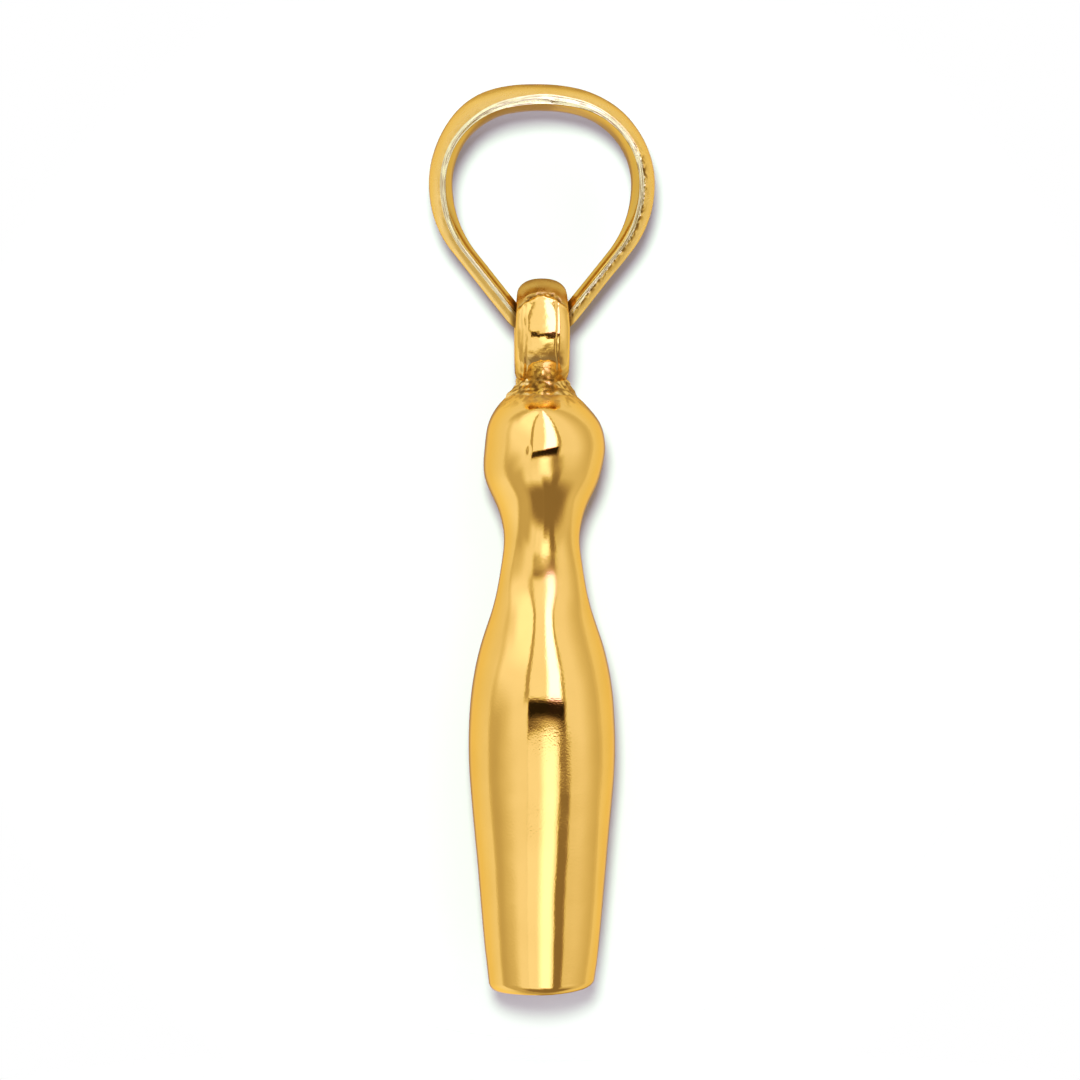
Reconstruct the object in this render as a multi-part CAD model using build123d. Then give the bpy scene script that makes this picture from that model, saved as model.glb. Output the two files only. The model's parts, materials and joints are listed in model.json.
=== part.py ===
from build123d import *
from math import cos, radians, sin, tan
import os

# A cast gold pendant shaped like a bowling pin, hung from a teardrop bail. Millimetres, +Z up.
# The origin is the inside of the bail's crown, where the chain bears. X is the way the chain runs,
# which is also the pin's wide direction, and Y is the pendant's depth, with the front facing -Y.

# Bail: a strap bent into a teardrop in the YZ plane
BAIL_CROWN_THICKNESS = 0.65
BAIL_HALF_DEPTH = 3.10        # outer, at the widest
BAIL_SIDE_THICKNESS = 0.65
BAIL_WIDEST_Z = -2.09
CROWN_ARC_HALF_ANGLE = 12.6   # degrees of flatter arc to each side of the crown
LEG_ANGLE = 38.7              # degrees from vertical
BAIL_FOOT_INNER_RADIUS = 0.73
BAIL_FOOT_OUTER_RADIUS = 1.24
STRAP_CROWN_WIDTH = 2.40
STRAP_FOOT_WIDTH = 0.85
STRAP_OUTER_ROUND = 0.28
SEAM_WIDTH = 0.12             # soldered gap between the strap's two ends

# Hanging ring: its hole runs along Y, and the pivot is the middle of its top bar
PIVOT_Z = -5.02
RING_OUTER_RADIUS = 1.50
RING_THICKNESS = 0.72         # radial
RING_WIDTH = 1.36             # along Y
RING_INNER_ROUND = 0.34
RING_CROWN_ROUND = 0.35

# Pin
PIN_HEIGHT = 16.50
PIN_TOP_GAP = 0.03            # solder under the ring's foot
PIN_BASE_ROUND = 0.20
# Height above the base, half depth (Y), half width (X)
PIN_SECTIONS = (
    (0.00, 1.42, 1.71),
    (1.10, 1.55, 1.84),
    (3.10, 1.73, 2.09),
    (5.05, 1.91, 2.32),
    (6.40, 2.00, 2.48),
    (7.43, 1.99, 2.60),
    (7.95, 1.96, 2.63),
    (8.40, 1.91, 2.60),
    (9.00, 1.80, 2.46),
    (9.70, 1.61, 2.12),
    (10.30, 1.41, 1.75),
    (10.80, 1.27, 1.47),
    (11.30, 1.17, 1.35),
    (11.75, 1.10, 1.37),
    (12.45, 1.04, 1.50),
    (12.90, 1.11, 1.68),
    (13.30, 1.24, 1.90),
    (13.70, 1.43, 2.13),
    (14.00, 1.55, 2.26),
    (14.45, 1.64, 2.36),
    (14.90, 1.65, 2.39),
    (15.45, 1.54, 2.24),
    (16.05, 1.20, 1.74),
    (16.40, 0.78, 1.08),
    (16.50, 0.30, 0.42),
)

# Solder fillet between the ring's foot and the head: height above the base, half depth, half width
RING_SOLDER_SECTIONS = (
    (16.05, 1.22, 1.76),
    (16.36, 0.95, 1.22),
    (16.58, 0.71, 0.94),
    (16.80, 0.63, 0.90),
)

CUT_MARGIN = 0.5              # how far cutting shapes run past what they cut
RING_Z = PIVOT_Z + RING_THICKNESS / 2 - RING_OUTER_RADIUS
BASE_Z = RING_Z - RING_OUTER_RADIUS - PIN_TOP_GAP - PIN_HEIGHT


def polar(centre, radius, angle):
    """Point at an angle in degrees from the first axis of a drawing plane."""
    return (centre[0] + radius * cos(radians(angle)), centre[1] + radius * sin(radians(angle)))


def half_teardrop(crown_z, half_depth, foot_radius):
    """Right half of the bail's outline, from its crown down to its foot, in Y and Z."""
    turn = 90 - CROWN_ARC_HALF_ANGLE
    rise = crown_z - BAIL_WIDEST_Z
    # The crown and shoulder arcs are tangent, and together span the half depth and the rise.
    sine = sin(radians(turn))
    cosine = cos(radians(turn))
    crown_radius = (half_depth * sine - rise * (1 - cosine)) / (cosine + sine - 1)
    shoulder_radius = (rise - crown_radius * (1 - sine)) / sine
    # The flank arc is tangent to the widest point and to the straight leg.
    slope = radians(LEG_ANGLE)
    drop = BAIL_WIDEST_Z - PIVOT_Z
    flank_radius = (foot_radius / cos(slope) + drop * tan(slope) - half_depth) / (1 / cos(slope) - 1)

    crown_centre = (0, crown_z - crown_radius)
    shoulder_centre = (half_depth - shoulder_radius, BAIL_WIDEST_Z)
    flank_centre = (half_depth - flank_radius, BAIL_WIDEST_Z)
    foot_centre = (0, PIVOT_Z)
    top = (0, crown_z)
    crown_end = polar(crown_centre, crown_radius, turn)
    widest = (half_depth, BAIL_WIDEST_Z)
    leg_top = polar(flank_centre, flank_radius, -LEG_ANGLE)
    leg_foot = polar(foot_centre, foot_radius, -LEG_ANGLE)
    bottom = (0, PIVOT_Z - foot_radius)
    return [
        ThreePointArc(top, polar(crown_centre, crown_radius, 90 - CROWN_ARC_HALF_ANGLE / 2), crown_end),
        ThreePointArc(crown_end, polar(shoulder_centre, shoulder_radius, turn / 2), widest),
        ThreePointArc(widest, polar(flank_centre, flank_radius, -LEG_ANGLE / 2), leg_top),
        Line(leg_top, leg_foot),
        ThreePointArc(leg_foot, polar(foot_centre, foot_radius, -(90 + LEG_ANGLE) / 2), bottom),
    ]


def teardrop(crown_z, half_depth, foot_radius):
    """Closed teardrop face in the YZ plane."""
    right = half_teardrop(crown_z, half_depth, foot_radius)
    left = [edge.mirror(Plane.YZ) for edge in right]
    return Plane.YZ * make_face(Wire(right + left))


def strap_outline():
    """Front outline of the strap: wide at the crown, narrow where it passes through the ring."""
    crown = STRAP_CROWN_WIDTH / 2
    foot = STRAP_FOOT_WIDTH / 2
    top = BAIL_CROWN_THICKNESS + CUT_MARGIN
    bottom = PIVOT_Z - BAIL_FOOT_OUTER_RADIUS - CUT_MARGIN
    taper_end = PIVOT_Z + BAIL_FOOT_INNER_RADIUS
    right = [
        Line((0, top), (crown, top)),
        Line((crown, top), (crown, BAIL_WIDEST_Z / 2)),
        Spline(
            (crown, BAIL_WIDEST_Z / 2),
            (foot, taper_end),
            tangents=((0, -1), (0, -1)),
        ),
        Line((foot, taper_end), (foot, bottom)),
        Line((foot, bottom), (0, bottom)),
    ]
    left = [edge.mirror(Plane.YZ) for edge in right]
    return Plane.XZ * make_face(Wire(right + left))


def long_edges(band):
    """The edges that run along the strap, not across it."""
    return [edge for edge in band.edges() if abs(edge.tangent_at(0.5).X) < 0.99]


def bail_band():
    """The whole strap, closed, before its seam is cut."""
    outer = teardrop(BAIL_CROWN_THICKNESS, BAIL_HALF_DEPTH, BAIL_FOOT_OUTER_RADIUS)
    inner = teardrop(0, BAIL_HALF_DEPTH - BAIL_SIDE_THICKNESS, BAIL_FOOT_INNER_RADIUS)
    plug = extrude(outer, STRAP_CROWN_WIDTH / 2, both=True)
    plug &= extrude(strap_outline(), BAIL_HALF_DEPTH + CUT_MARGIN, both=True)
    plug = fillet(long_edges(plug), STRAP_OUTER_ROUND)
    return plug - extrude(inner, STRAP_CROWN_WIDTH, both=True)


def seam_box():
    """Block round the joint between the strap's two ends, at the bottom of its foot."""
    middle = PIVOT_Z - (BAIL_FOOT_INNER_RADIUS + BAIL_FOOT_OUTER_RADIUS) / 2
    height = BAIL_FOOT_OUTER_RADIUS - BAIL_FOOT_INNER_RADIUS + CUT_MARGIN
    return Pos(0, 0, middle) * Box(STRAP_FOOT_WIDTH + CUT_MARGIN, SEAM_WIDTH, height)


def bail_strap():
    return bail_band() - seam_box()


def bail_solder():
    return bail_band() & seam_box()


def ring_section():
    """D-shaped section at the ring's top, domed outside and softly rounded inside."""
    section = Pos(0, PIVOT_Z) * Rectangle(RING_WIDTH, RING_THICKNESS)
    corners = section.vertices().sort_by(Axis.Y)
    section = fillet(corners[:2], RING_INNER_ROUND)
    corners = section.vertices().sort_by(Axis.Y)
    return fillet(corners[-2:], RING_CROWN_ROUND)


def hanging_ring():
    section = Plane.YZ * ring_section()
    return revolve(section, Axis((0, 0, RING_Z), (0, 1, 0)), 360)


def oval(height, half_depth, half_width):
    return Pos(0, 0, BASE_Z + height) * Ellipse(half_width, half_depth)


def pin_body():
    body = loft([oval(*section) for section in PIN_SECTIONS])
    base_edge = body.edges().sort_by(Axis.Z)[0]
    return fillet(base_edge, PIN_BASE_ROUND)


def ring_solder():
    collar = loft([oval(*section) for section in RING_SOLDER_SECTIONS])
    return collar - pin_body() - hanging_ring()


NODES = {
    "pin_body": pin_body,
    "hanging_ring": hanging_ring,
    "ring_solder": ring_solder,
    "bail_strap": bail_strap,
    "bail_solder": bail_solder,
}

os.makedirs("parts", exist_ok=True)
for name, make in NODES.items():
    export_step(make(), f"parts/{name}.step")
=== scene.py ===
"""Looks of a small gold bowling-pin pendant: its pin, hanging ring, teardrop bail and solder."""
import json
import math

import bpy
import numpy as np
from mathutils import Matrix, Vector, noise


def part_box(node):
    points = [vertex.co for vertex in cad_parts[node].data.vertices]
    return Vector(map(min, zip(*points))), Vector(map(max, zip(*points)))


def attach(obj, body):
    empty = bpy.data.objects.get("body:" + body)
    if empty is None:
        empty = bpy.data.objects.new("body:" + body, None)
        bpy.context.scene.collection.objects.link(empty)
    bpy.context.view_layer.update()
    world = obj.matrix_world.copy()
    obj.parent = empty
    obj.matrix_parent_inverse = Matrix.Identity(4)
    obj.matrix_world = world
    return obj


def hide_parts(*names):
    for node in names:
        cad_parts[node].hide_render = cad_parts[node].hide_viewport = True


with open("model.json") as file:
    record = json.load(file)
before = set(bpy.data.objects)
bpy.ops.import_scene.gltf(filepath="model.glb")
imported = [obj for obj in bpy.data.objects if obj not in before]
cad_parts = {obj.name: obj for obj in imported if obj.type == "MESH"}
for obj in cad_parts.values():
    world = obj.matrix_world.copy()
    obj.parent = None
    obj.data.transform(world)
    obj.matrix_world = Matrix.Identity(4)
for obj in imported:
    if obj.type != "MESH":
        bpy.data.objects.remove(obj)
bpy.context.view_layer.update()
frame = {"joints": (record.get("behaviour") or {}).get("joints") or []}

MM = 0.001
BASE_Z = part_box("pin_body")[0].z
CROWN_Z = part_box("bail_strap")[1].z
RING_LOW, RING_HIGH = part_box("hanging_ring")
RING_RADIUS = (RING_HIGH.z - RING_LOW.z) / 2
RING_Z = (RING_HIGH.z + RING_LOW.z) / 2
PIVOT_Z = frame["joints"][0]["pos_m"][2]
RING_THICKNESS = 2 * (RING_HIGH.z - PIVOT_Z)


# ---------------------------------------------------------------- curves and meshes

def smooth_curve(points, steps):
    """Natural cubic spline through rows of numbers, spaced by the chord of their first two."""
    points = np.array(points, float)
    lengths = np.linalg.norm(np.diff(points[:, :2], axis=0), axis=1)
    knots = np.concatenate([[0], np.cumsum(lengths)])
    count = len(points)
    matrix = np.zeros((count, count))
    right = np.zeros_like(points)
    matrix[0, 0] = matrix[-1, -1] = 1
    for i in range(1, count - 1):
        before, after = lengths[i - 1], lengths[i]
        matrix[i, i - 1:i + 2] = before, 2 * (before + after), after
        right[i] = 6 * ((points[i + 1] - points[i]) / after - (points[i] - points[i - 1]) / before)
    bends = np.linalg.solve(matrix, right)
    t = np.linspace(0, knots[-1], steps)
    i = np.clip(np.searchsorted(knots, t, side="right") - 1, 0, count - 2)
    span = lengths[i][:, None]
    a = (knots[i + 1] - t)[:, None]
    b = (t - knots[i])[:, None]
    return (
        bends[i] * a ** 3 / (6 * span)
        + bends[i + 1] * b ** 3 / (6 * span)
        + (points[i] / span - bends[i] * span / 6) * a
        + (points[i + 1] / span - bends[i + 1] * span / 6) * b
    )


def grid_mesh(name, grid, closed_rows=False, closed_columns=True, capped=False, **amounts):
    """Smooth mesh of a grid of points, with its amounts by point of dirt and painted shade, of dulling,
    and of painted highlight.
    """
    rows, columns = grid.shape[:2]
    vertices = grid.reshape(-1, 3).tolist()
    faces = []
    for r in range(rows if closed_rows else rows - 1):
        for c in range(columns if closed_columns else columns - 1):
            after_r, after_c = (r + 1) % rows, (c + 1) % columns
            faces.append((
                r * columns + c, r * columns + after_c,
                after_r * columns + after_c, after_r * columns + c,
            ))
    if capped:
        for row, order in ((0, -1), (rows - 1, 1)):
            middle = len(vertices)
            vertices.append(grid[row].mean(axis=0).tolist())
            for c in range(columns):
                pair = (row * columns + c, row * columns + (c + 1) % columns)
                faces.append((pair[::order][0], pair[::order][1], middle))
    mesh = bpy.data.meshes.new(name)
    mesh.from_pydata(vertices, [], faces)
    mesh.polygons.foreach_set("use_smooth", [True] * len(mesh.polygons))
    mesh.update()
    for label, amount in amounts.items():
        values = np.zeros(len(vertices), dtype=np.float32)
        values[:rows * columns] = np.clip(amount, 0, 1).ravel()
        mesh.attributes.new(label, "FLOAT", "POINT").data.foreach_set("value", values)
    piece = bpy.data.objects.new(name, mesh)
    bpy.context.scene.collection.objects.link(piece)
    return piece


def lumps(points, size, seed):
    """Smooth noise from -1 to 1 at each point, with features about size across."""
    flat = points.reshape(-1, 3) / size
    shift = Vector((seed * 7.3, seed * 3.1, seed * 5.7))
    values = [noise.noise(Vector(p) + shift) for p in flat]
    return np.array(values).reshape(points.shape[:-1])


def swell(y, z, middle, spread):
    """A soft hump round a point in the side view."""
    return np.exp(-((y - middle[0]) / spread[0]) ** 2 - ((z - middle[1]) / spread[1]) ** 2)


def oval_grid(rows, steps):
    """Points round the oval of each row: height, half depth (Y) and half width (X)."""
    angle = np.linspace(0, 2 * math.pi, steps, endpoint=False)
    height, depth, width = np.array(rows, float).T[:, :, None]
    return np.stack([width * np.cos(angle), depth * np.sin(angle), height + 0 * angle], axis=-1)


def push_out(grid, shift):
    """Moves points away from the Z axis."""
    scale = 1 + shift / np.hypot(grid[..., 0], grid[..., 1])
    grid[..., 0] *= scale
    grid[..., 1] *= scale


# ---------------------------------------------------------------- materials

def new_material(name):
    material = bpy.data.materials.new(name)
    material.use_nodes = True
    return material, material.node_tree, material.node_tree.nodes["Principled BSDF"]


MICRON = 1e-6
GOLD = (0.98, 0.675, 0.25)
PALE_GOLD = (0.98, 0.72, 0.29)         # the bail's alloy
FILED_EDGE_HIGHLIGHT_GOLD = (0.98, 0.92, 0.56)          # a filed edge, paler as a painted highlight
SHADED_WORN_GOLD = (0.76, 0.56, 0.21)         # the strap's inner face: worn, and darker as painted shade inside the loop
RUBBED_SHADED_GOLD = (0.70, 0.515, 0.215)     # where the bail rubs the ring, and darker as painted shade under the bail
SOLDER_GOLD = (0.95, 0.69, 0.29)
GOLD_RIM = (1.0, 0.80, 0.50)           # tint where the surface turns away
GRIME_AND_SHADE = (0.20, 0.155, 0.07)            # dirt and scale caught in creases, and painted shade where the strap goes into the ring
HIGHLIGHT_GOLD = (0.92, 0.77, 0.44)        # pale gold, a painted highlight in a narrow middle band on the solder, the head's top and the ring's foot
DARKER_TONE = 0.96                     # the darker of the two tones that a gold drifts between
WORN_ROUGHNESS = 0.35                  # added to the roughness where the dirt-and-shade mask or the dull mask is set
TONE_SIZE = 1.4 * MM                   # sizes of the patches of tone, of polish and of rubbed grain
POLISH_SIZE = 0.5 * MM
RUB_SIZE = 1.1 * MM


def noise_height(tree, vector, size, detail=2.0):
    texture = tree.nodes.new("ShaderNodeTexNoise")
    texture.inputs["Scale"].default_value = 1 / size
    texture.inputs["Detail"].default_value = detail
    tree.links.new(vector, texture.inputs["Vector"])
    return texture.outputs["Fac"]


def add_bump(tree, height, distance, before=None):
    bump = tree.nodes.new("ShaderNodeBump")
    bump.inputs["Strength"].default_value = 1.0
    bump.inputs["Distance"].default_value = distance
    tree.links.new(height, bump.inputs["Height"])
    if before is not None:
        tree.links.new(before, bump.inputs["Normal"])
    return bump.outputs["Normal"]


def map_range(tree, value, low, high, to_low, to_high):
    node = tree.nodes.new("ShaderNodeMapRange")
    node.inputs["From Min"].default_value = low
    node.inputs["From Max"].default_value = high
    node.inputs["To Min"].default_value = to_low
    node.inputs["To Max"].default_value = to_high
    tree.links.new(value, node.inputs["Value"])
    return node.outputs["Result"]


def gold(name, roughness, grain, grain_size, wear=0.0, wear_size=0.25 * MM, color=GOLD):
    """Gold with a fine grain, patchy polish, drifting tone, dirt and painted shade, dull places, and
    painted highlights.
    """
    material, tree, shader = new_material(name)
    shader.inputs["Metallic"].default_value = 1.0
    shader.inputs["Specular Tint"].default_value = (*GOLD_RIM, 1)
    place = tree.nodes.new("ShaderNodeTexCoord").outputs["Object"]

    patches = noise_height(tree, place, TONE_SIZE)
    tone = tree.nodes.new("ShaderNodeMix")
    tone.data_type = "RGBA"
    tone.inputs["A"].default_value = (*(c * DARKER_TONE for c in color), 1)
    tone.inputs["B"].default_value = (*color, 1)
    tree.links.new(map_range(tree, patches, 0.30, 0.60, 0, 1), tone.inputs["Factor"])
    grime, dull, pale = (tree.nodes.new("ShaderNodeAttribute") for _ in range(3))
    grime.attribute_name, dull.attribute_name, pale.attribute_name = "grime", "dull", "pale"
    result = tone.outputs["Result"]
    for amount, other in ((pale, HIGHLIGHT_GOLD), (grime, GRIME_AND_SHADE)):
        mix = tree.nodes.new("ShaderNodeMix")
        mix.data_type = "RGBA"
        mix.inputs["B"].default_value = (*other, 1)
        tree.links.new(result, mix.inputs["A"])
        tree.links.new(amount.outputs["Fac"], mix.inputs["Factor"])
        result = mix.outputs["Result"]
    tree.links.new(result, shader.inputs["Base Color"])

    polish = noise_height(tree, place, POLISH_SIZE, 4)
    rough = map_range(tree, polish, 0.35, 0.70, roughness * 0.75, roughness * 1.5)
    for worn in (grime, dull):
        more = tree.nodes.new("ShaderNodeMath")
        more.operation = "MULTIPLY_ADD"
        more.inputs[1].default_value = WORN_ROUGHNESS
        tree.links.new(worn.outputs["Fac"], more.inputs[0])
        tree.links.new(rough, more.inputs[2])
        rough = more.outputs["Value"]
    tree.links.new(rough, shader.inputs["Roughness"])

    # The grain is strong in patches and polished away between them.
    normal = add_bump(tree, noise_height(tree, place, grain_size), grain)
    rubbed = map_range(tree, noise_height(tree, place, RUB_SIZE), 0.40, 0.60, 0.3, 1)
    tree.links.new(rubbed, normal.node.inputs["Strength"])
    if wear:
        normal = add_bump(tree, noise_height(tree, place, wear_size, 4), wear, normal)
    tree.links.new(normal, shader.inputs["Normal"])
    return material


# ---------------------------------------------------------------- pin

# Height above the base, half depth (Y), half width (X), in millimetres
PIN_SECTIONS = (
    (0.00, 1.42, 1.71),
    (1.10, 1.55, 1.84),
    (3.10, 1.73, 2.09),
    (5.05, 1.91, 2.32),
    (6.40, 2.00, 2.48),
    (7.43, 1.99, 2.60),
    (7.95, 1.96, 2.63),
    (8.40, 1.91, 2.60),
    (9.00, 1.80, 2.46),
    (9.70, 1.61, 2.12),
    (10.30, 1.41, 1.75),
    (10.80, 1.27, 1.47),
    (11.30, 1.17, 1.35),
    (11.75, 1.10, 1.37),
    (12.45, 1.04, 1.50),
    (12.90, 1.11, 1.68),
    (13.30, 1.24, 1.90),
    (13.70, 1.43, 2.13),
    (14.00, 1.55, 2.26),
    (14.45, 1.64, 2.36),
    (14.90, 1.65, 2.39),
    (15.45, 1.54, 2.24),
    (16.05, 1.20, 1.74),
    (16.40, 0.78, 1.08),
    (16.50, 0.30, 0.42),
)
PIN_BASE_ROUND = 0.24
PIN_BASE_STEPS = 26
PIN_SIDE_STEPS = 620
PIN_AROUND_STEPS = 400
HEAD_MIDDLE = 14.95
HEAD_LEAN = 0.085             # how far the head stands off the axis
BASE_TILT = 0.13              # rise of one end of the base
HEATED_FROM = 15.92           # the torch marked the head above here
UNEVEN_FAR_EDGE = 0.6         # how uneven the far edge is, against the edge that faces the camera


def twist(y, z, strength, height, spread):
    """Skin that leans to one side above a height and to the other side below it."""
    return strength * y * (z - height) * swell(y, z, (0.0, height), spread)


def hand_finish(grid):
    """Outward shift of the pin's skin where hand polishing left it uneven, in millimetres."""
    x, y, z = grid[..., 0], grid[..., 1], grid[..., 2]
    side = np.where(x > 0, 1.0, UNEVEN_FAR_EDGE)
    face = np.clip(1 - (y / 1.5) ** 2, 0, 1)
    head = twist(y, z, 0.10, 14.85, (0.9, 0.32))
    cheek = -0.13 * y * face * swell(y, z, (0.0, 14.7), (1.0, 0.9))
    neck = twist(y, z, -0.18, 11.45, (0.45, 0.60))
    foot = -0.06 * y * face * np.clip((5.5 - z) / 3, 0, 1)
    belly = -0.013 * swell(y, z, (0.0, 7.75), (0.8, 0.6))
    pit = -0.016 * swell(y, z, (-0.47, 14.78), (0.05, 0.10))
    shoulder = 0.07 * swell(y, z, (1.5, 15.6), (0.6, 0.45))
    drift = 0.008 * lumps(grid, 1.6, 3) + 0.0022 * lumps(grid, 0.55, 4)
    return side * (head + cheek + neck + foot + belly + pit) + shoulder + drift


def make_pin():
    side = smooth_curve(PIN_SECTIONS, PIN_SIDE_STEPS)
    # The base edge turns along a quarter circle, and the rest follows the side.
    rows = []
    for turn in np.linspace(0, math.pi / 2, PIN_BASE_STEPS, endpoint=False):
        height = PIN_BASE_ROUND * (1 - math.cos(turn))
        inset = PIN_BASE_ROUND * (1 - math.sin(turn))
        depth = np.interp(height, side[:, 0], side[:, 1]) - inset
        width = np.interp(height, side[:, 0], side[:, 2]) - inset
        rows.append((height, depth, width))
    rows += [tuple(row) for row in side if row[0] > PIN_BASE_ROUND]
    grid = oval_grid(rows, PIN_AROUND_STEPS)
    push_out(grid, hand_finish(grid) * np.clip(grid[..., 2] / PIN_BASE_ROUND, 0, 1))
    y, z = grid[..., 1], grid[..., 2]
    # Polish was lost at the neck, on the belly and under the head.
    dull = 0.6 * swell(y, z, (0.15, 11.4), (0.9, 0.85)) + 0.35 * swell(y, z, (0.0, 7.45), (0.6, 0.20))
    dull += 0.5 * swell(y, z, (0.1, 14.30), (0.9, 0.30))
    heated = np.clip((z - HEATED_FROM) / 0.25, 0, 1)
    # Painted highlight: paler gold in the heated zone, in a band on the faces towards +X and -X.
    pale = heated * np.exp(-(y / 0.45) ** 4)
    dull = np.maximum(dull, 0.8 * heated)
    # Dark spot in the pit under the head, on the +X side only.
    grime = 0.6 * swell(y, z, (-0.52, 14.74), (0.03, 0.08)) * (grid[..., 0] > 0)
    grime += heated * np.clip(0.10 + 1.2 * lumps(grid, 0.16, 22), 0, 0.4)
    tilt = BASE_TILT * np.clip(y / 1.4, 0, 1) ** 1.5 * np.clip(1 - z / 0.8, 0, 1)
    grid[..., 1] += HEAD_LEAN * np.exp(-((z - HEAD_MIDDLE) / 0.60) ** 2)
    grid[..., 2] += tilt
    grid *= MM
    grid[..., 2] += BASE_Z
    piece = grid_mesh("pin_figure", grid, capped=True, grime=grime, dull=dull, pale=pale)
    piece.data.materials.append(
        gold("pin_gold", roughness=0.05, grain=2.2 * MICRON, grain_size=0.05 * MM)
    )
    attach(piece, "pin")
    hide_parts("pin_body")


# ---------------------------------------------------------------- ring

RING_TOP_HALF_WIDTH = 0.68    # millimetres, where the bail wears it
RING_SIDE_HALF_WIDTH = 0.745
RING_SEAT = -0.08             # the section's widest line, out from its middle
RING_POWER_OUT = 2.05         # squareness of the section outside, across and inside
RING_POWER_ACROSS = 2.3
RING_POWER_IN = 2.6
RING_AROUND_STEPS = 360
RING_SECTION_STEPS = 160
CAP_EDGE = 0.70               # cosine from the top where the bail's rubbing ends, on the centre line
CAP_ARCH = 0.41               # how much lower it ends towards the ring's edges
CAP_PITS = ((-0.40, 0.60), (-0.32, 0.64), (0.46, 0.60))           # across, and cosine from the top
RING_CREASES = ((-0.46, 0.022), (-0.58, 0.012), (0.40, 0.022))    # across, and how deep
GROOVE_DEPTH = 0.028          # where the rubbing ends
LIP_HEIGHT = 0.016            # metal pushed up beside that groove


def make_ring():
    around = np.linspace(0, 2 * math.pi, RING_AROUND_STEPS, endpoint=False)[:, None]
    section = np.linspace(0, 2 * math.pi, RING_SECTION_STEPS, endpoint=False)[None, :]
    thickness = RING_THICKNESS / MM
    middle = RING_RADIUS / MM - thickness / 2
    spread = np.clip(1.1 * (1 - np.cos(around)), 0, 1)
    half_width = RING_TOP_HALF_WIDTH + (RING_SIDE_HALF_WIDTH - RING_TOP_HALF_WIDTH) * spread
    c, s = np.cos(section), np.sin(section)
    outside = (thickness / 2 - RING_SEAT) * np.abs(s) ** (2 / RING_POWER_OUT)
    inside = (thickness / 2 + RING_SEAT) * np.abs(s) ** (2 / RING_POWER_IN)
    radius = middle + RING_SEAT + np.where(s > 0, outside, -inside)
    grid = np.zeros((around.shape[0], section.shape[1], 3))
    grid[..., 0] = radius * np.sin(around)
    grid[..., 1] = half_width * np.sign(c) * np.abs(c) ** (2 / RING_POWER_ACROSS)
    grid[..., 2] = radius * np.cos(around)
    # Casting left the ring's outside faintly lumpy, most of all near its foot.
    low = np.clip(0.5 - 0.5 * np.cos(around), 0.15, 1)
    uneven = (0.022 * lumps(grid, 0.5, 1) + 0.009 * lumps(grid, 0.16, 2)) * low
    across = grid[..., 1]
    rub = np.cos(around) - CAP_EDGE + CAP_ARCH * across ** 2 + 0.06 * lumps(grid, 0.14, 7)
    groove = np.exp(-((rub + 0.01) / 0.022) ** 2) * np.clip(0.7 + 1.4 * lumps(grid, 0.10, 15), 0, 1.3)
    for place, height in CAP_PITS:
        away = ((across - place) / 0.045) ** 2 + ((np.cos(around) - height) / 0.022) ** 2
        groove += 1.3 * np.exp(-away)
    lip = LIP_HEIGHT * np.exp(-((rub + 0.075) / 0.022) ** 2)
    creases = sum(
        np.exp(-((across - place - 0.05 * lumps(grid, 0.5, 16)) / 0.026) ** 2) * depth
        for place, depth in RING_CREASES
    ) * np.clip(0.7 + lumps(grid, 0.35, 17), 0, 1) * np.clip(-rub / 0.1, 0, 1)
    shift = uneven + lip - GROOVE_DEPTH * groove - creases
    shift = (shift * np.clip(s, 0, 1) ** 0.5 - 0.010 * low)[..., None]
    heated = np.clip((-np.cos(around) - 0.62) / 0.28, 0, 1)
    heated = heated * np.clip(0.75 + 1.1 * lumps(grid, 0.18, 14), 0.2, 1)
    grime = (0.9 * groove + 18 * creases + 0.75 * heated) * np.clip(s, 0, 1) ** 0.3
    # Painted highlight: paler gold down the middle of the ring's foot.
    pale = np.exp(-(across / 0.42) ** 4) * np.clip((-np.cos(around) - 0.42) / 0.15, 0, 1)
    grid *= 1 + shift / RING_RADIUS * MM
    grid *= MM
    grid[..., 2] += RING_Z
    piece = grid_mesh("ring_loop", grid, closed_rows=True, grime=grime, pale=pale)
    piece.data.materials.append(
        gold("ring_gold", roughness=0.09, grain=3 * MICRON, grain_size=0.06 * MM, wear=4 * MICRON)
    )
    # The cap is satin where the bail rubs it, and darker as painted shade under the bail.
    piece.data.materials.append(
        gold("ring_cap", roughness=0.26, grain=2.0 * MICRON, grain_size=0.04 * MM, color=RUBBED_SHADED_GOLD)
    )
    cap = ((rub > 0) & (s > 0)).astype(int).ravel().tolist()
    piece.data.polygons.foreach_set("material_index", cap)
    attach(piece, "pin")
    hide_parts("hanging_ring")


# ---------------------------------------------------------------- solder on the head

# Height above the base, half depth, half width of the solder's cone
SOLDER_SECTIONS = (
    (15.85, 1.28, 1.84),
    (16.05, 1.15, 1.67),
    (16.20, 1.03, 1.46),
    (16.38, 0.90, 1.26),
    (16.56, 0.74, 0.98),
    (16.72, 0.67, 0.84),
    (16.86, 0.62, 0.66),
)
SOLDER_AROUND_STEPS = 260
SOLDER_SIDE_STEPS = 110
JOINT_FROM = 16.05            # the beads begin here


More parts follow.
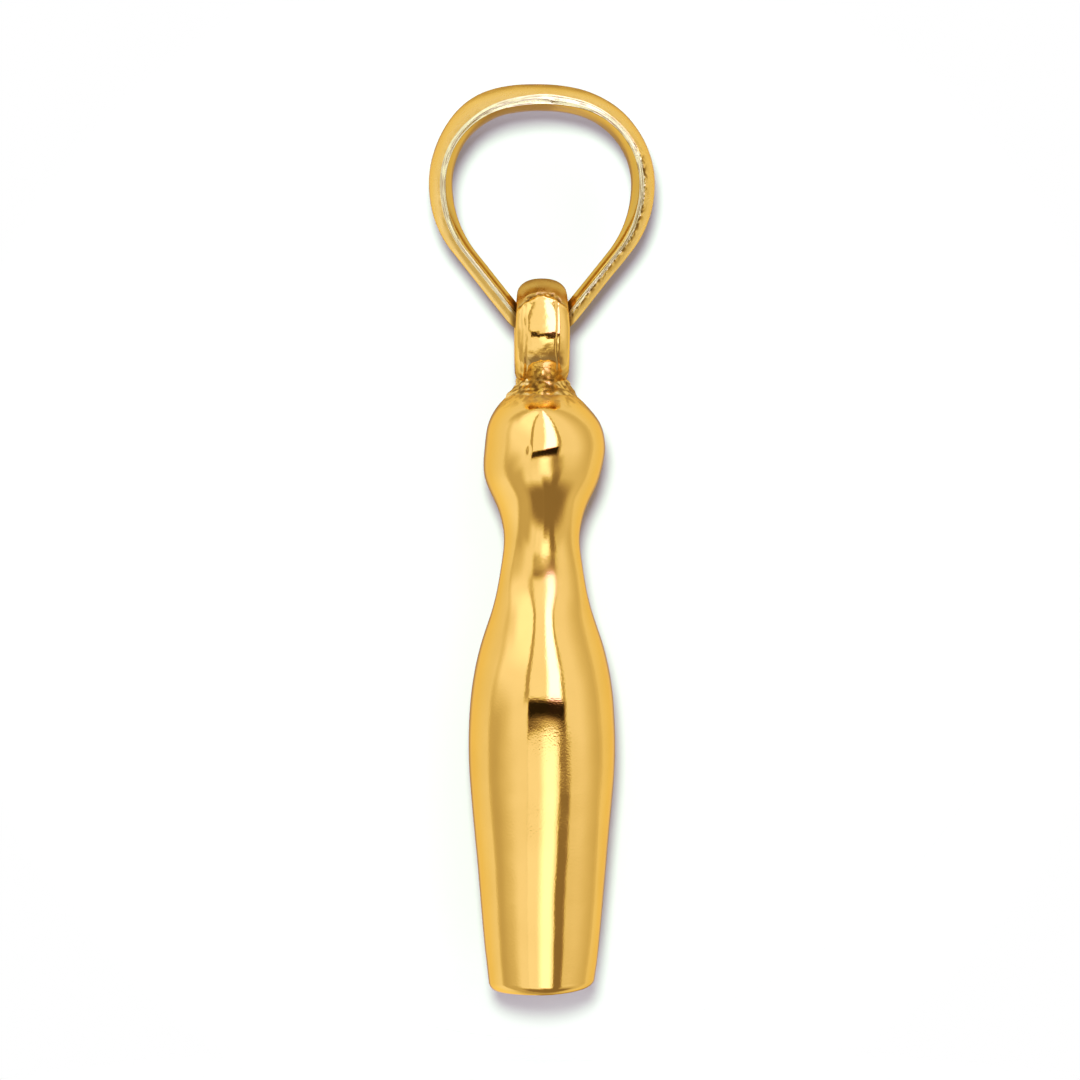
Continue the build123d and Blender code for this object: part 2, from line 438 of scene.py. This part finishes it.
def make_solder():
    grid = oval_grid(smooth_curve(SOLDER_SECTIONS, SOLDER_SIDE_STEPS), SOLDER_AROUND_STEPS)
    # Beads of solder run together, rougher near the joint than on the head.
    joint = np.clip((grid[..., 2] - JOINT_FROM) / 0.35, 0, 1)
    flow = grid * np.array((1.0, 1.0, 1.2))
    rough = np.clip(0.75 - grid[..., 1] * np.sign(grid[..., 0]) * 1.1, 0.25, 1.3)
    beads = (np.abs(lumps(flow, 0.40, 5)) * 0.13 + lumps(flow, 0.16, 6) * 0.022) * rough - 0.030
    # Painted highlight: paler gold in a band on the solder's faces towards +X and -X.
    pale = np.exp(-(grid[..., 1] / 0.40) ** 4)
    grime = joint * np.clip(0.30 + 1.4 * lumps(flow, 0.14, 19) - 4 * (beads + 0.01), 0, 0.9)
    push_out(grid, beads * joint - 0.012 * (1 - joint))
    grid *= MM
    grid[..., 2] += BASE_Z
    piece = grid_mesh("solder_beads", grid, capped=True, grime=grime, pale=pale)
    piece.data.materials.append(
        gold(
            "solder_gold", roughness=0.15, grain=2.4 * MICRON, grain_size=0.05 * MM,
            wear=5 * MICRON, color=SOLDER_GOLD
        )
    )
    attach(piece, "pin")
    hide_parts("ring_solder")


# ---------------------------------------------------------------- bail

# Millimetres and degrees
BAIL_CROWN_THICKNESS = 0.65
BAIL_HALF_DEPTH = 3.10
BAIL_SIDE_THICKNESS = 0.65
BAIL_WIDEST_Z = -2.09
CROWN_ARC_HALF_ANGLE = 12.6
LEG_ANGLE = 38.7
BAIL_FOOT_INNER_RADIUS = 0.73
BAIL_FOOT_OUTER_RADIUS = 1.24
STRAP_HALF_WIDTH = 1.20
STRAP_FOOT_HALF_WIDTH = 0.42
SEAM_HALF_WIDTH = 0.06
SEAM_BEAD_REACH = 0.15        # the bead spreads this far from the seam

# Place from crown (0) to foot (1), and the shares of the strap's thickness in the dome outside and
# the rounding inside. The filed edge takes the rest.
STRAP_SHARES = (
    (0.00, 0.54, 0.04),
    (0.10, 0.60, 0.06),
    (0.22, 0.60, 0.16),
    (0.35, 0.50, 0.25),
    (0.60, 0.42, 0.36),
    (1.00, 0.40, 0.36),
)


def arc(centre, radius, start, end, steps):
    turn = np.radians(np.linspace(start, end, steps, endpoint=False))
    return [(centre[0] + radius * math.cos(t), centre[1] + radius * math.sin(t)) for t in turn]


def half_teardrop(crown_z, half_depth, foot_radius):
    """Right half of the bail's outline from crown to foot, in Y and Z, with the same steps for all."""
    turn = 90 - CROWN_ARC_HALF_ANGLE
    sine, cosine = math.sin(math.radians(turn)), math.cos(math.radians(turn))
    rise = crown_z - BAIL_WIDEST_Z
    crown_radius = (half_depth * sine - rise * (1 - cosine)) / (cosine + sine - 1)
    shoulder_radius = (rise - crown_radius * (1 - sine)) / sine
    slope = math.radians(LEG_ANGLE)
    pivot_z = PIVOT_Z / MM
    drop = BAIL_WIDEST_Z - pivot_z
    flank_reach = foot_radius / math.cos(slope) + drop * math.tan(slope) - half_depth
    flank_radius = flank_reach / (1 / math.cos(slope) - 1)
    flank_centre = (half_depth - flank_radius, BAIL_WIDEST_Z)
    points = arc((0, crown_z - crown_radius), crown_radius, 90, turn, 40)
    points += arc((half_depth - shoulder_radius, BAIL_WIDEST_Z), shoulder_radius, turn, 0, 130)
    points += arc(flank_centre, flank_radius, 0, -LEG_ANGLE, 90)
    outward = np.array((math.cos(slope), -math.sin(slope)))
    leg_top = np.array(flank_centre) + flank_radius * outward
    leg_foot = np.array((0, pivot_z)) + foot_radius * outward
    points += [tuple(leg_top + (leg_foot - leg_top) * t) for t in np.linspace(0, 1, 80, endpoint=False)]
    points += arc((0, pivot_z), foot_radius, -LEG_ANGLE, -90, 60)
    points.append((0, pivot_z - foot_radius))
    return np.array(points)


def strap_half_width(z):
    """Full width over the crown, drawn in to pass through the ring."""
    top, bottom = BAIL_WIDEST_Z / 2, PIVOT_Z / MM + BAIL_FOOT_INNER_RADIUS
    t = np.clip((z - bottom) / (top - bottom), 0, 1)
    return STRAP_FOOT_HALF_WIDTH + (STRAP_HALF_WIDTH - STRAP_FOOT_HALF_WIDTH) * t * t * (3 - 2 * t)


FILE_LINES = ((0.15, 21), (0.50, 31), (0.85, 51))     # place across an edge, and seed
BEADED_FROM = 2.9             # along one leg from the crown, its outer corner is beaded past here
EDGE_BULGE = 0.035
EDGE_LEAN = 0.22              # the filed edge faces a little outward
STRAP_STEPS = {"inner": 40, "edge": 30, "outer": 60}


def strap_section(half_width, thickness, dome, hollow):
    """Closed section: across the strap, and out from its inner face."""
    reach = half_width - EDGE_BULGE
    across = np.linspace(-1, 1, STRAP_STEPS["inner"], endpoint=False)
    inner = [(reach * t, hollow * abs(t) ** 2.6) for t in across]
    height = thickness - dome - hollow
    v = np.linspace(-1, 1, STRAP_STEPS["edge"], endpoint=False)
    edge = [
        (
            reach + EDGE_BULGE * (1 - t * t) - EDGE_LEAN * height * (t + 1) / 2,
            hollow + height * (t + 1) / 2,
        )
        for t in v
    ]
    top_reach = reach - EDGE_LEAN * height
    across = np.linspace(1, -1, STRAP_STEPS["outer"], endpoint=False)
    outer = [(top_reach * t, thickness - dome * t * t) for t in across]
    back = [(-x, n) for x, n in reversed(edge)]
    back = [(-top_reach, thickness - dome)] + back[:-1]
    return np.array(inner + edge + outer + back)


def strap_zone():
    """What each section point belongs to: 0 dome, 1 filed edge, 2 inner face."""
    return (
        [2] * STRAP_STEPS["inner"] + [1] * STRAP_STEPS["edge"]
        + [0] * STRAP_STEPS["outer"] + [1] * STRAP_STEPS["edge"]
    )


def strap_grid(grow=0.0):
    """Stations round the whole strap, from one side of the seam to the other."""
    outer = half_teardrop(BAIL_CROWN_THICKNESS, BAIL_HALF_DEPTH, BAIL_FOOT_OUTER_RADIUS)
    inner = half_teardrop(0, BAIL_HALF_DEPTH - BAIL_SIDE_THICKNESS, BAIL_FOOT_INNER_RADIUS)
    middle = (outer + inner) / 2
    length = np.concatenate([[0], np.cumsum(np.linalg.norm(np.diff(middle, axis=0), axis=1))])
    share = length / length[-1]
    table = np.array(STRAP_SHARES)
    dome = np.interp(share, table[:, 0], table[:, 1])
    hollow = np.interp(share, table[:, 0], table[:, 2])
    soft = np.hanning(61) / np.hanning(61).sum()
    dome, hollow = (np.convolve(np.pad(a, 30, mode="edge"), soft, mode="valid") for a in (dome, hollow))
    rows, stations = [], []
    for side in (-1, 1):
        order = range(len(outer) - 1, 0, -1) if side < 0 else range(len(outer))
        for i in order:
            out = outer[i] - inner[i]
            thickness = np.linalg.norm(out)
            out = out / thickness
            section = strap_section(
                strap_half_width(middle[i][1]) + grow, thickness + 2 * grow,
                dome[i] * thickness, hollow[i] * thickness
            )
            reach = section[:, 1] - grow
            row = np.stack([
                section[:, 0],
                side * (inner[i][0] + out[0] * reach),
                inner[i][1] + out[1] * reach,
            ], axis=1)
            rows.append(row)
            stations.append(side * length[i])
    return np.array(rows), np.array(stations), length[-1]


def shoulder_swell(grid, zone):
    """How far the strap stands out from its plain teardrop: one fuller shoulder, a thicker crown."""
    y, z = grid[..., 1], grid[..., 2]
    outside = (zone != 2)[None, :] * 1.0
    fuller = 0.11 * swell(y, z, (-1.9, 0.1), (1.5, 1.0)) * outside
    thicker = 0.05 * swell(y, z, (0.9, 0.0), (2.0, 0.8)) * (1 - outside)
    return fuller + thicker


def lengthwise(along, edge, stretch, seed):
    """Noise that changes only along the strap, and differs between its two edges."""
    return lumps(np.stack([along * stretch, edge, 0 * along], axis=-1), 1.0, seed)


def make_bail():
    grid, stations, length = strap_grid()
    keep = np.abs(stations) < length - SEAM_HALF_WIDTH
    grid, stations = grid[keep], stations[keep]
    zone = np.array(strap_zone())
    count = grid.shape[1]
    along = np.repeat(stations[:, None], count, axis=1)
    index = np.arange(count)[None, :]
    edges = (zone == 1)[None, :]
    side = np.sign(grid[..., 0])
    # Place across an edge: 0 at the inner face, 1 at the dome
    first = STRAP_STEPS["inner"]
    second = first + STRAP_STEPS["edge"] + STRAP_STEPS["outer"]
    place = np.where(index < second, index - first, count - index) / STRAP_STEPS["edge"]
    # File lines run along the edges.
    coords = np.stack([along * 0.5, side, place * 3.2 + 0 * along], axis=-1)
    lines = np.where(edges, 0.030 * lumps(coords, 1.0, 8), 0)
    grime = np.zeros(grid.shape[:2])
    for at, seed in FILE_LINES:
        wander = at + 0.16 * lengthwise(along, side, 0.7, seed)
        broken = np.clip(0.25 + 1.6 * lengthwise(along, side, 3.0, seed + 1), 0, 1)
        cut = np.exp(-((place - wander) / 0.08) ** 2) * broken * edges
        lines -= 0.012 * cut
        grime += 0.6 * cut
    # The outer corners are softened, but one leg's kept its beads of gold.
    corner = np.zeros(count)
    for i in range(count):
        after = zone[(i + 1) % count]
        if zone[i] != after and 0 in (zone[i], after):
            gap = np.abs((np.arange(count) - i + count / 2) % count - count / 2)
            corner = np.maximum(corner, np.exp(-(gap / 5) ** 2))
    leg = np.clip((along - BEADED_FROM) / 0.5, 0, 1)
    beads = corner[None, :] * leg * (0.10 * np.abs(lumps(grid, 0.12, 11)) - 0.008)
    beads -= corner[None, :] * (1 - leg) * (0.010 + 0.012 * lumps(grid, 0.25, 18))
    # Painted shade darkens the strap where it goes into the ring.
    grime += 0.85 * np.clip((0.90 - np.abs(grid[..., 1])) / 0.12, 0, 1) * (grid[..., 2] < -4)
    grime += corner[None, :] * np.clip(0.3 + 3.0 * lumps(grid, 0.12, 20), 0, 0.9) * (0.12 + 0.88 * leg)
    drift = 0.010 * lumps(grid, 0.8, 12) + shoulder_swell(grid, zone)
    out = grid - grid.mean(axis=1, keepdims=True)
    out /= np.linalg.norm(out, axis=2, keepdims=True)
    grid = grid + out * (lines + beads + drift - 0.003)[..., None]
    grid[..., 2] = np.minimum(grid[..., 2], BAIL_CROWN_THICKNESS)
    piece = grid_mesh("bail_loop", grid * MM, capped=True, grime=grime)
    materials = (
        gold("bail_satin", roughness=0.24, grain=1.6 * MICRON, grain_size=0.035 * MM, color=PALE_GOLD),
        # The filed edges are paler, as a painted highlight.
        gold(
            "bail_edge", roughness=0.22, grain=1.2 * MICRON, grain_size=0.04 * MM,
            wear=4 * MICRON, wear_size=0.12 * MM, color=FILED_EDGE_HIGHLIGHT_GOLD
        ),
        # The inner face is darker, as painted shade inside the loop.
        gold(
            "bail_inside", roughness=0.16, grain=1.6 * MICRON, grain_size=0.04 * MM,
            wear=5 * MICRON, color=SHADED_WORN_GOLD
        ),
    )
    for material in materials:
        piece.data.materials.append(material)
    faces = (grid.shape[0] - 1) * count
    indices = np.tile(zone, grid.shape[0] - 1).tolist()
    indices += [1] * (len(piece.data.polygons) - faces)
    piece.data.polygons.foreach_set("material_index", indices)
    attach(piece, "bail")
    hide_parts("bail_strap")


def make_seam():
    """Solder bead that closes the strap's two ends under its foot."""
    grid, stations, length = strap_grid()
    near = length - np.abs(stations)
    before = (stations > 0) & (near < SEAM_BEAD_REACH)
    # Both sides end at the seam itself, and it is kept once.
    after = (stations < 0) & (near < SEAM_BEAD_REACH) & (near >= 1e-9)
    grid = np.concatenate([grid[before], grid[after]])
    distance = np.concatenate([near[before], near[after]])
    crown = np.sqrt(np.clip(1 - (distance / SEAM_BEAD_REACH) ** 2, 0, 1))
    out = grid - grid.mean(axis=1, keepdims=True)
    out /= np.linalg.norm(out, axis=2, keepdims=True)
    rise = crown[:, None] * 0.024 - 0.02 + 0.010 * lumps(grid, 0.12, 13)
    grid = grid + out * rise[..., None]
    piece = grid_mesh("bail_seam", grid * MM, capped=True)
    piece.data.materials.append(
        gold("seam_gold", roughness=0.14, grain=1.2 * MICRON, grain_size=0.04 * MM, wear=4 * MICRON)
    )
    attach(piece, "bail")
    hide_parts("bail_solder")


# ---------------------------------------------------------------- camera, light, stage

CAMERA_DISTANCE = 0.150
FRAME_WIDTH = 0.0296          # what the picture spans at the pendant's middle
CAMERA_TURN = -1.2            # degrees off the X axis
VIEW_HEIGHT = 12.36 * MM      # above the base
VIEW_SIDE = -0.00005          # along Y
SENSOR_WIDTH = 36


def make_camera():
    camera_data = bpy.data.cameras.new("camera")
    camera = bpy.data.objects.new("camera", camera_data)
    bpy.context.scene.collection.objects.link(camera)
    camera_data.sensor_width = SENSOR_WIDTH
    camera_data.lens = SENSOR_WIDTH * CAMERA_DISTANCE / FRAME_WIDTH
    turn = math.radians(CAMERA_TURN)
    target = Vector((0, VIEW_SIDE, BASE_Z + VIEW_HEIGHT))
    back = Vector((math.cos(turn), math.sin(turn), 0))
    camera.location = target + back * CAMERA_DISTANCE
    camera.rotation_mode = "QUATERNION"
    camera.rotation_quaternion = (-back).to_track_quat("-Z", "Y")
    camera_data.clip_start = 0.001
    camera_data.clip_end = 10
    bpy.context.scene.camera = camera


class Sky:
    """World light as soft panels set by direction: turn from +X towards +Y, and height, in degrees."""

    def __init__(self, level):
        self.world = bpy.data.worlds.new("studio")
        bpy.context.scene.world = self.world
        self.world.use_nodes = True
        self.nodes = self.world.node_tree.nodes
        self.links = self.world.node_tree.links
        self.nodes.clear()
        place = self.nodes.new("ShaderNodeTexCoord")
        parts = self.nodes.new("ShaderNodeSeparateXYZ")
        self.links.new(place.outputs["Generated"], parts.inputs["Vector"])
        self.turn = self.degrees(self.math("ARCTAN2", parts.outputs["Y"], parts.outputs["X"]))
        self.height = self.degrees(self.math("ARCSINE", parts.outputs["Z"]))
        self.level = level

    def math(self, operation, first, second=None):
        node = self.nodes.new("ShaderNodeMath")
        node.operation = operation
        for socket, value in zip(node.inputs, (first, second)):
            if value is None:
                continue
            if isinstance(value, (int, float)):
                socket.default_value = value
            else:
                self.links.new(value, socket)
        return node.outputs["Value"]

    def degrees(self, value):
        return self.math("MULTIPLY", value, 180 / math.pi)

    def step(self, value, at, soft, falling=False):
        node = self.nodes.new("ShaderNodeMapRange")
        node.interpolation_type = "SMOOTHSTEP"
        self.links.new(value, node.inputs["Value"])
        node.inputs["From Min"].default_value = at - soft / 2
        node.inputs["From Max"].default_value = at + soft / 2
        node.inputs["To Min"].default_value = 1 if falling else 0
        node.inputs["To Max"].default_value = 0 if falling else 1
        return node.outputs["Result"]

    def window(self, turns, heights):
        """1 inside a patch of sky, 0 outside; each edge is an angle and a softness."""
        wide = self.math(
            "MULTIPLY", self.step(self.turn, *turns[0]), self.step(self.turn, *turns[1], True)
        )
        tall = self.math(
            "MULTIPLY", self.step(self.height, *heights[0]), self.step(self.height, *heights[1], True)
        )
        return self.math("MULTIPLY", wide, tall)

    def cover(self, turns, heights, strength):
        """Pulls the patch to the given level, whatever is behind it."""
        mask = self.window(turns, heights)
        keep = self.math("MULTIPLY", self.level, self.math("SUBTRACT", 1.0, mask))
        self.level = self.math("ADD", keep, self.math("MULTIPLY", mask, strength))

    def strip(self, turns, heights, strength):
        """A tinted light over part of a panel."""
        self.cover(turns, heights, strength)
        self.tinted = self.window(turns, heights)

    def finish(self, tint):
        """Lights the scene. Only reflections see the tint, and the camera sees plain white."""
        rays = self.nodes.new("ShaderNodeLightPath")
        colour = self.nodes.new("ShaderNodeMix")
        colour.data_type = "RGBA"
        colour.inputs["A"].default_value = (1, 1, 1, 1)
        colour.inputs["B"].default_value = (*tint, 1)
        tinted = self.math("MULTIPLY", self.tinted, rays.outputs["Is Glossy Ray"])
        self.links.new(tinted, colour.inputs["Factor"])
        light = self.nodes.new("ShaderNodeBackground")
        self.links.new(colour.outputs["Result"], light.inputs["Color"])
        self.links.new(self.level, light.inputs["Strength"])
        plain = self.nodes.new("ShaderNodeBackground")
        plain.inputs["Color"].default_value = (1, 1, 1, 1)
        mix = self.nodes.new("ShaderNodeMixShader")
        self.links.new(rays.outputs["Is Camera Ray"], mix.inputs["Fac"])
        self.links.new(light.outputs["Background"], mix.inputs[1])
        self.links.new(plain.outputs["Background"], mix.inputs[2])
        out = self.nodes.new("ShaderNodeOutputWorld")
        self.links.new(mix.outputs["Shader"], out.inputs["Surface"])


ALL_TURNS = ((-200, 1), (200, 1))
STRIP_TINT = (1.0, 0.80, 1.25)


def make_light():
    sky = Sky(0.50)
    # Overhead
    sky.cover(ALL_TURNS, ((50, 20), (100, 1)), 0.82)
    # White behind the pendant, seen near its rims, and darker straight behind it
    sky.cover(((118, 12), (200, 1)), ((-60, 30), (70, 30)), 0.88)
    sky.cover(((-200, 1), (-106, 10)), ((-60, 30), (70, 30)), 0.88)
    sky.cover(((-107, 8), (-84, 8)), ((-60, 30), (8, 10)), 0.58)
    sky.cover(((-114, 8), (-96, 8)), ((30, 14), (70, 20)), 0.60)
    sky.cover(((162, 14), (200, 1)), ((-60, 20), (40, 20)), 0.42)
    sky.cover(((-200, 1), (-162, 14)), ((-60, 20), (40, 20)), 0.42)
    # Side panels, left and right of the camera, and the front panel round it
    sky.cover(((-88, 14), (-31, 2)), ((-60, 16), (84, 12)), 0.66)
    sky.cover(((-72, 34), (-31, 2)), ((-60, 16), (84, 12)), 0.98)
    sky.cover(((-104, 24), (-31, 2)), ((4, 26), (40, 20)), 1.06)
    sky.cover(((-92, 30), (-31, 2)), ((34, 30), (84, 12)), 1.30)
    sky.cover(((46, 3), (116, 8)), ((-60, 20), (80, 20)), 0.95)
    sky.cover(((92, 44), (116, 8)), ((-60, 20), (80, 20)), 0.66)
    sky.cover(((-31, 3), (43, 8)), ((-52, 14), (100, 1)), 1.04)
    # Each side panel is dimmer below
    sky.cover(((50, 4), (116, 8)), ((-60, 20), (-15, 14)), 0.74)
    sky.cover(((-94, 14), (-58, 26)), ((-60, 20), (-15, 14)), 0.60)
    sky.cover(((-200, 1), (-104, 10)), ((-50, 30), (-14, 26)), 1.00)
    # Gaps between the panels
    sky.cover(((-40, 3), (-31, 3)), ((0, 10), (84, 12)), 0.50)
    sky.cover(((41, 3), (46, 3)), ((-14, 8), (80, 20)), 0.50)
    sky.cover(((33, 5), (54, 8)), ((-90, 20), (-13, 4)), 0.27)
    # A tinted strip light in the front panel, and a weaker plain one under it
    sky.strip(((10, 12), (37, 5)), ((-9, 12), (100, 1)), 2.7)
    sky.cover(((0, 20), (27, 12)), ((-28, 14), (-10, 12)), 1.7)
    # Dark below, and the slot that the camera looks through
    sky.cover(((-64, 30), (9, 14)), ((-95, 1), (-46, 22)), 0.28)
    sky.cover(((5, 14), (100, 26)), ((-95, 1), (-34, 24)), 0.27)
    sky.cover(((-31, 2), (43, 5)), ((-12, 3), (1, 3)), 0.02)
    sky.finish(STRIP_TINT)


CARD_GAP = 2.9 * MM           # from the pendant's middle back to the white card
STAGE_REACH = 17 * MM
FLOOR_DROP = 3.0 * MM         # the pendant hangs just above the floor
LAMP_PLACE = (0.150, -0.008, 0.021)    # from the pendant's middle
LAMP_SIZE = 0.022
LAMP_WATTS = 0.56


def pale_paper(name, glow, white, fade_from):
    """Matt white paper that fades out towards its rim, and is only there from its front."""
    material, tree, shader = new_material(name)
    nodes, links = tree.nodes, tree.links
    # Slightly green, against the tone curve's purple in the greys
    shader.inputs["Base Color"].default_value = (white, white * 1.08, white * 1.02, 1)
    shader.inputs["Roughness"].default_value = 1.0
    shader.inputs["Specular IOR Level"].default_value = 0.0
    shader.inputs["Emission Color"].default_value = (1, 1, 1, 1)
    shader.inputs["Emission Strength"].default_value = glow
    place = nodes.new("ShaderNodeTexCoord")
    length = nodes.new("ShaderNodeVectorMath")
    length.operation = "LENGTH"
    links.new(place.outputs["Object"], length.inputs[0])
    fade = map_range(tree, length.outputs["Value"], fade_from, STAGE_REACH, 1, 0)
    facing = nodes.new("ShaderNodeNewGeometry")
    front = nodes.new("ShaderNodeMath")
    front.operation = "SUBTRACT"
    front.use_clamp = True
    links.new(fade, front.inputs[0])
    links.new(facing.outputs["Backfacing"], front.inputs[1])
    links.new(front.outputs["Value"], shader.inputs["Alpha"])
    return material


def disc(name, place, turn, material):
    steps = 96
    points = [
        (STAGE_REACH * math.cos(a), STAGE_REACH * math.sin(a), 0)
        for a in np.linspace(0, 2 * math.pi, steps, endpoint=False)
    ]
    mesh = bpy.data.meshes.new(name)
    mesh.from_pydata(points, [], [tuple(range(steps))])
    mesh.materials.append(material)
    piece = bpy.data.objects.new(name, mesh)
    bpy.context.scene.collection.objects.link(piece)
    piece.location = place
    piece.rotation_euler = turn
    piece.visible_glossy = False


def make_stage():
    middle = (CROWN_Z + BASE_Z) / 2
    card_paper = pale_paper("card_paper", glow=0.0, white=0.32, fade_from=0.011)
    disc("card", (-CARD_GAP, 0, middle), (0, math.pi / 2, 0), card_paper)
    floor_paper = pale_paper("floor_paper", glow=0.30, white=0.50, fade_from=0.004)
    disc("floor", (0, 0, BASE_Z - FLOOR_DROP), (0, 0, 0), floor_paper)


def make_lamp():
    """Soft lamp just above the camera, which drops the pendant's shadow on the card."""
    lamp_data = bpy.data.lights.new("shadow_lamp", "AREA")
    lamp_data.shape = "DISK"
    lamp_data.size = LAMP_SIZE
    lamp_data.energy = LAMP_WATTS
    lamp = bpy.data.objects.new("shadow_lamp", lamp_data)
    bpy.context.scene.collection.objects.link(lamp)
    middle = Vector((0, 0, (CROWN_Z + BASE_Z) / 2))
    lamp.location = middle + Vector(LAMP_PLACE)
    lamp.rotation_mode = "QUATERNION"
    lamp.rotation_quaternion = (middle - lamp.location).to_track_quat("-Z", "Y")
    lamp.visible_glossy = False


def tone_curve():
    """Richer gold in the shade: green and blue sag a little below the middle."""
    view = bpy.context.scene.view_settings
    view.view_transform = "Standard"
    view.use_curve_mapping = True
    mapping = view.curve_mapping
    green = ((0.20, 0.145), (0.42, 0.355), (0.70, 0.665), (0.85, 0.845), (0.94, 0.94))
    blue = (
        (0.08, 0.030), (0.17, 0.085), (0.27, 0.225), (0.40, 0.39),
        (0.60, 0.60), (0.80, 0.80), (0.94, 0.94),
    )
    for index, points in ((1, green), (2, blue)):
        for point in points:
            mapping.curves[index].points.new(*point)
    mapping.update()


make_camera()
make_light()
make_lamp()
make_stage()
tone_curve()

make_pin()
make_ring()
make_solder()
make_bail()
make_seam()
